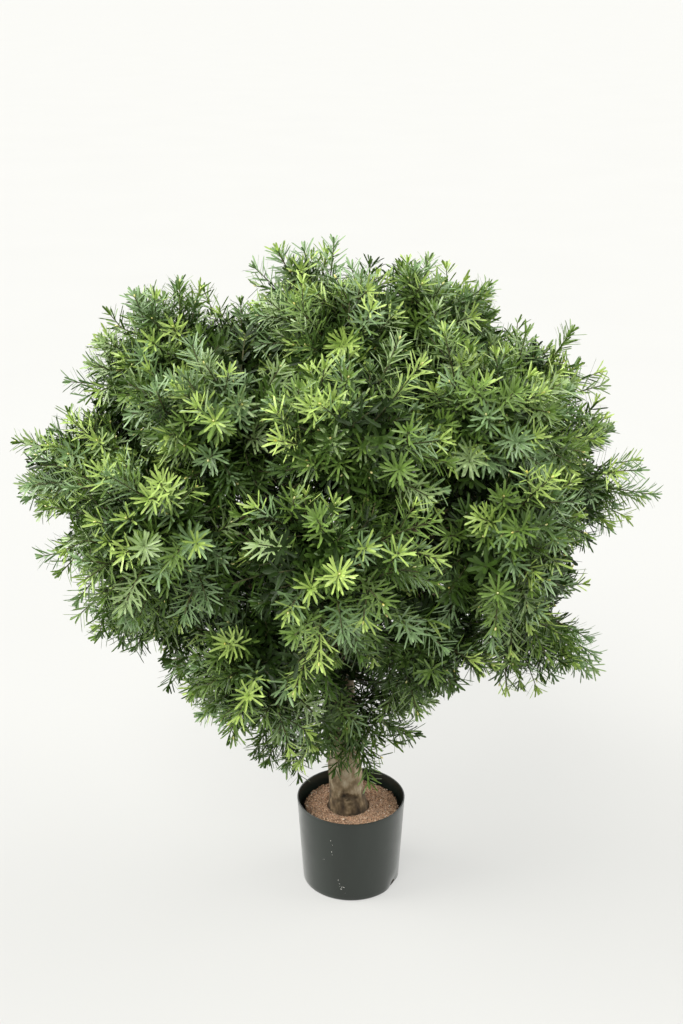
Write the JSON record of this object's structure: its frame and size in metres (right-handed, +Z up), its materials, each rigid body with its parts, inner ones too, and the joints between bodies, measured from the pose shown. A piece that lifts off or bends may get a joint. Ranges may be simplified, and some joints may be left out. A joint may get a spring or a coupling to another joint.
{
  "type": "artificial lollipop topiary",
  "caption": "Artificial lollipop topiary: a dense, shaggy ball crown of needle foliage on a short tapering trunk, set in a round black nursery pot.",
  "frame": {"origin": "centre of the pot's flat underside, where it stands on the floor", "axes": "+Z up along the pot's axis, -Y towards the viewer of the picture, +X to that viewer's right"},
  "size_m": [0.9677, 0.9107, 1.0442],
  "materials": {
    "pot_plastic": "black-green nursery plastic, satin",
    "soil_grit": "cement plug topped with reddish-brown grit",
    "trunk_bark": "grey-brown bark, matt",
    "bough_bark": "grey-brown bark, matt",
    "foliage_crest": "moulded green needles, satin",
    "foliage_shoulder": "moulded green needles, satin",
    "foliage_belt": "moulded green needles, satin",
    "foliage_lower": "moulded green needles, satin",
    "foliage_skirt": "moulded green needles, satin"
  },
  "bodies": {
    "root": {"pot": "pot_plastic", "soil": "soil_grit", "trunk": "trunk_bark", "bough_crest_1": "bough_bark", "bough_crest_2": "bough_bark", "bough_crest_3": "bough_bark", "bough_shoulder_1": "bough_bark", "bough_shoulder_2": "bough_bark", "bough_shoulder_3": "bough_bark", "bough_shoulder_4": "bough_bark", "bough_shoulder_5": "bough_bark", "bough_shoulder_6": "bough_bark", "bough_shoulder_7": "bough_bark", "bough_shoulder_8": "bough_bark", "bough_belt_1": "bough_bark", "bough_belt_2": "bough_bark", "bough_belt_3": "bough_bark", "bough_belt_4": "bough_bark", "bough_belt_5": "bough_bark", "bough_belt_6": "bough_bark", "bough_belt_7": "bough_bark", "bough_belt_8": "bough_bark", "bough_lower_1": "bough_bark", "bough_lower_2": "bough_bark", "bough_lower_3": "bough_bark", "bough_lower_4": "bough_bark", "bough_lower_5": "bough_bark", "bough_lower_6": "bough_bark", "foliage_crest_1": "foliage_crest", "foliage_crest_2": "foliage_crest", "foliage_crest_3": "foliage_crest", "foliage_shoulder_1": "foliage_shoulder", "foliage_shoulder_2": "foliage_shoulder", "foliage_shoulder_3": "foliage_shoulder", "foliage_shoulder_4": "foliage_shoulder", "foliage_shoulder_5": "foliage_shoulder", "foliage_shoulder_6": "foliage_shoulder", "foliage_shoulder_7": "foliage_shoulder", "foliage_shoulder_8": "foliage_shoulder", "foliage_belt_1": "foliage_belt", "foliage_belt_2": "foliage_belt", "foliage_belt_3": "foliage_belt", "foliage_belt_4": "foliage_belt", "foliage_belt_5": "foliage_belt", "foliage_belt_6": "foliage_belt", "foliage_belt_7": "foliage_belt", "foliage_belt_8": "foliage_belt", "foliage_lower_1": "foliage_lower", "foliage_lower_2": "foliage_lower", "foliage_lower_3": "foliage_lower", "foliage_lower_4": "foliage_lower", "foliage_lower_5": "foliage_lower", "foliage_lower_6": "foliage_lower", "foliage_skirt_1": "foliage_skirt", "foliage_skirt_2": "foliage_skirt", "foliage_skirt_3": "foliage_skirt"}
  },
  "joints": []
}
